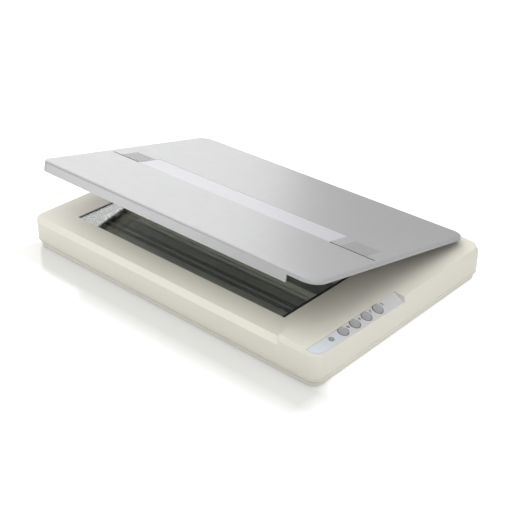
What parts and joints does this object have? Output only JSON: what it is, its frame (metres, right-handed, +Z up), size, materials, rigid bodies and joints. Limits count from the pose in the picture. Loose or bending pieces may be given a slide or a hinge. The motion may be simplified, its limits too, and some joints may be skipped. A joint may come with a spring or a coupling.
{
  "type": "large-format flatbed document scanner",
  "caption": "Wide shallow flatbed scanner with a glass plate, hinged lift-up lid opened a little, sloped button strip and a moving sensor carriage inside.",
  "frame": {"origin": "centre of the footprint on the surface the feet stand on", "axes": "+X right along the long front side, +Y to the back, +Z up"},
  "size_m": [0.589, 0.397, 0.1488],
  "materials": {
    "case_white": "fine-textured warm white moulding",
    "lid_grey": "satin light grey moulding",
    "strip_light": "satin light strip, blank",
    "clear_glass": "clear polished sheet",
    "target_white": "matt white target",
    "panel_film": "satin grey printed film",
    "light_lens": "clear green lens",
    "button_grey": "satin mid grey",
    "black_plastic": "matt black moulding",
    "sensor_black": "matt black housing",
    "sensor_glass": "thin dark cover glass",
    "acetal": "natural acetal",
    "steel": "bright drawn steel",
    "motor_can": "plated steel can",
    "rubber": "black rubber",
    "circuit_board": "green solder mask",
    "port_steel": "plated steel shell",
    "ribbon_cable": "white film ribbon",
    "screw_zinc": "zinc plated",
    "foam_white": "soft white foam",
    "sheet_white": "smooth white backing sheet"
  },
  "bodies": {
    "base": {"lower_case": "case_white", "upper_case": "case_white", "scan_glass": "clear_glass", "calibration_strip": "target_white", "control_panel_overlay": "panel_film", "status_light": "light_lens", "power_jack": "black_plastic", "rod_clamp_left": "acetal", "rod_clamp_right": "acetal", "support_rail": "acetal", "guide_rod": "steel", "gear_shaft": "steel", "idler_bracket": "steel", "tension_spring": "steel", "stepper_motor": "motor_can", "drive_belt": "rubber", "rubber_foot_1": "rubber", "rubber_foot_2": "rubber", "rubber_foot_3": "rubber", "rubber_foot_4": "rubber", "main_board": "circuit_board", "button_board": "circuit_board", "usb_port": "port_steel", "flat_cable": "ribbon_cable", "case_screw_1": "screw_zinc", "case_screw_2": "screw_zinc", "case_screw_3": "screw_zinc", "case_screw_4": "screw_zinc", "case_screw_5": "screw_zinc", "case_screw_6": "screw_zinc"},
    "hinge_posts": {"hinge_post_left": "case_white", "hinge_post_right": "case_white", "hinge_pin_left": "steel", "hinge_pin_right": "steel"},
    "lid": {"lid_shell": "lid_grey", "lid_label_strip": "strip_light", "lid_inner_panel": "case_white", "foam_pad": "foam_white", "white_sheet": "sheet_white", "hinge_arm_left": "case_white", "hinge_arm_right": "case_white"},
    "carriage": {"carriage_frame": "black_plastic", "sensor_bar": "sensor_black", "sensor_window": "sensor_glass", "glass_roller_front": "acetal", "glass_roller_rear": "acetal", "sensor_spring_front": "steel", "sensor_spring_rear": "steel", "rod_bushing": "acetal", "belt_clamp": "acetal"},
    "motor_gear": {"motor_gear": "acetal"},
    "drive_gear": {"drive_gear": "acetal"},
    "idler_pulley": {"idler_pulley": "acetal"},
    "button_1": {"button_1": "button_grey"},
    "button_2": {"button_2": "button_grey"},
    "button_3": {"button_3": "button_grey"},
    "button_4": {"button_4": "button_grey"}
  },
  "joints": [
    {"name": "hinge_lift", "type": "slide", "parent": "base", "child": "hinge_posts", "axis": [0, 0, 1], "range_m": [0, 0.02]},
    {"name": "lid_hinge", "type": "hinge", "parent": "hinge_posts", "child": "lid", "pos_m": [0, 0.188, 0.058], "axis": [-1, 0, 0], "range_deg": [-12.2, 60]},
    {"name": "carriage_travel", "type": "slide", "parent": "base", "child": "carriage", "axis": [1, 0, 0], "range_m": [0, 0.46]},
    {"name": "drive_gear_spin", "type": "hinge", "parent": "base", "child": "drive_gear", "pos_m": [0.236, -0.085, 0.021], "axis": [0, 0, 1], "continuous": true},
    {"name": "motor_gear_spin", "type": "hinge", "parent": "base", "child": "motor_gear", "pos_m": [0.26, -0.085, 0.021], "axis": [0, 0, 1], "continuous": true},
    {"name": "idler_pulley_spin", "type": "hinge", "parent": "base", "child": "idler_pulley", "pos_m": [-0.28, -0.085, 0.013], "axis": [0, 0, 1], "continuous": true},
    {"name": "button_1_press", "type": "slide", "parent": "base", "child": "button_1", "axis": [0, 0, -1], "range_m": [0, 0.001], "stiffness_N_per_m": 300, "springref_m": -0.001},
    {"name": "button_2_press", "type": "slide", "parent": "base", "child": "button_2", "axis": [0, 0, -1], "range_m": [0, 0.001], "stiffness_N_per_m": 300, "springref_m": -0.001},
    {"name": "button_3_press", "type": "slide", "parent": "base", "child": "button_3", "axis": [0, 0, -1], "range_m": [0, 0.001], "stiffness_N_per_m": 300, "springref_m": -0.001},
    {"name": "button_4_press", "type": "slide", "parent": "base", "child": "button_4", "axis": [0, 0, -1], "range_m": [0, 0.001], "stiffness_N_per_m": 300, "springref_m": -0.001}
  ],
  "couplings": [
    {"joint": "drive_gear_spin", "follows": "carriage_travel", "rad_per_m": -147.06},
    {"joint": "motor_gear_spin", "follows": "carriage_travel", "rad_per_m": 588.24},
    {"joint": "idler_pulley_spin", "follows": "carriage_travel", "rad_per_m": -147.06}
  ]
}
